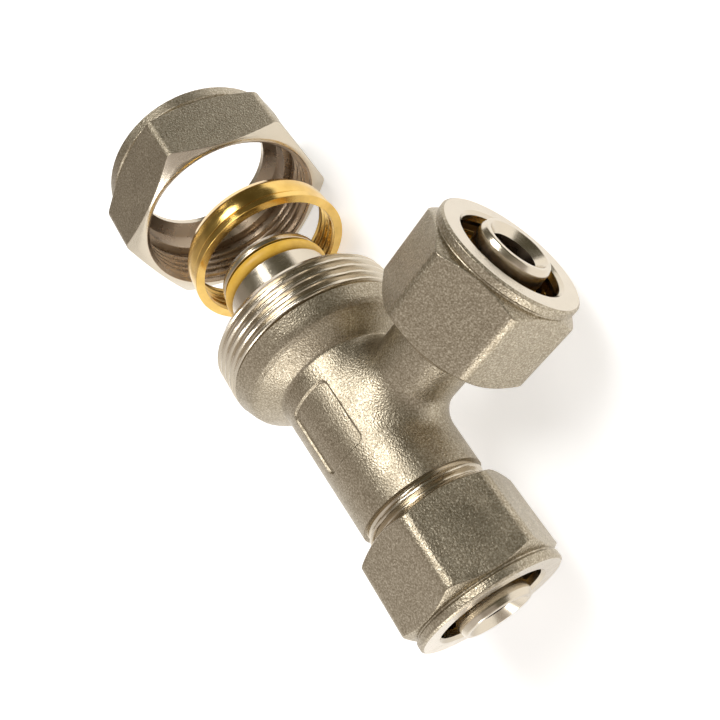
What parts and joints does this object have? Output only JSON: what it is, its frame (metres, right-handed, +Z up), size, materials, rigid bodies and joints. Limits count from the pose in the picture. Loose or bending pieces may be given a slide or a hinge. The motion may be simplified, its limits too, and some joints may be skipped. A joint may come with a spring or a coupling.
{
  "type": "compression reducing tee",
  "caption": "Nickel-plated brass reducing tee with insert nipples, hex compression nuts, split clamping rings, seals and blank label panel.",
  "frame": {"origin": "centre of the bounding box's base, under the fitting as it lies on its side with the two axes level; the run and branch axes cross 17.94 mm above the base", "axes": "+X along the run towards the 16 mm run end, so the 25 mm end is at -X; +Y along the branch; +Z up, square to both axes"},
  "size_m": [0.1, 0.0572, 0.0359],
  "materials": {
    "nickel": "nickel plated, sand-blasted on the forged faces, bright where turned",
    "ring_brass": "polished bare brass",
    "seal_rubber": "smooth mustard-yellow rubber",
    "washer_ptfe": "smooth white plastic"
  },
  "bodies": {
    "tee": {"tee_body": "nickel", "large_inner_o_ring": "seal_rubber", "large_outer_o_ring": "seal_rubber", "run_inner_o_ring": "seal_rubber", "run_outer_o_ring": "seal_rubber", "branch_inner_o_ring": "seal_rubber", "branch_outer_o_ring": "seal_rubber"},
    "large_washer": {"large_insulating_washer": "washer_ptfe"},
    "large_nut": {"large_nut": "nickel"},
    "large_ring": {"large_split_ring": "ring_brass"},
    "run_washer": {"run_insulating_washer": "washer_ptfe"},
    "run_nut": {"run_nut": "nickel"},
    "run_ring": {"run_split_ring": "ring_brass"},
    "branch_washer": {"branch_insulating_washer": "washer_ptfe"},
    "branch_nut": {"branch_nut": "nickel"},
    "branch_ring": {"branch_split_ring": "ring_brass"}
  },
  "joints": [
    {"name": "large_nut_turn", "type": "hinge", "parent": "tee", "child": "large_washer", "pos_m": [0, -0.00864, 0.01794], "axis": [1, 0, 0], "range_deg": [0, 7894]},
    {"name": "large_nut_travel", "type": "slide", "parent": "large_washer", "child": "large_nut", "axis": [1, 0, 0], "range_m": [0, 0.0329]},
    {"name": "large_ring_travel", "type": "slide", "parent": "tee", "child": "large_ring", "axis": [0.9895, -0.0169, 0.1432], "range_m": [0, 0.01536]},
    {"name": "run_nut_turn", "type": "hinge", "parent": "tee", "child": "run_washer", "pos_m": [0, -0.00864, 0.01794], "axis": [1, 0, 0], "range_deg": [0, 4798]},
    {"name": "run_nut_travel", "type": "slide", "parent": "run_washer", "child": "run_nut", "axis": [1, 0, 0], "range_m": [0, 0.02]},
    {"name": "run_ring_travel", "type": "slide", "parent": "tee", "child": "run_ring", "axis": [1, 0, 0], "range_m": [0, 0.02]},
    {"name": "branch_nut_turn", "type": "hinge", "parent": "tee", "child": "branch_washer", "pos_m": [0.0153, 0, 0.01794], "axis": [0, 1, 0], "range_deg": [0, 4798]},
    {"name": "branch_nut_travel", "type": "slide", "parent": "branch_washer", "child": "branch_nut", "axis": [0, 1, 0], "range_m": [0, 0.02]},
    {"name": "branch_ring_travel", "type": "slide", "parent": "tee", "child": "branch_ring", "axis": [0, 1, 0], "range_m": [0, 0.02]}
  ],
  "couplings": [
    {"joint": "large_nut_travel", "follows": "large_nut_turn", "m_per_rad": 0.00023873},
    {"joint": "large_ring_travel", "follows": "large_nut_turn", "m_per_rad": 0.00011146},
    {"joint": "run_nut_travel", "follows": "run_nut_turn", "m_per_rad": 0.00023873},
    {"joint": "run_ring_travel", "follows": "run_nut_turn", "m_per_rad": 0.00023873},
    {"joint": "branch_nut_travel", "follows": "branch_nut_turn", "m_per_rad": 0.00023873},
    {"joint": "branch_ring_travel", "follows": "branch_nut_turn", "m_per_rad": 0.00023873}
  ]
}
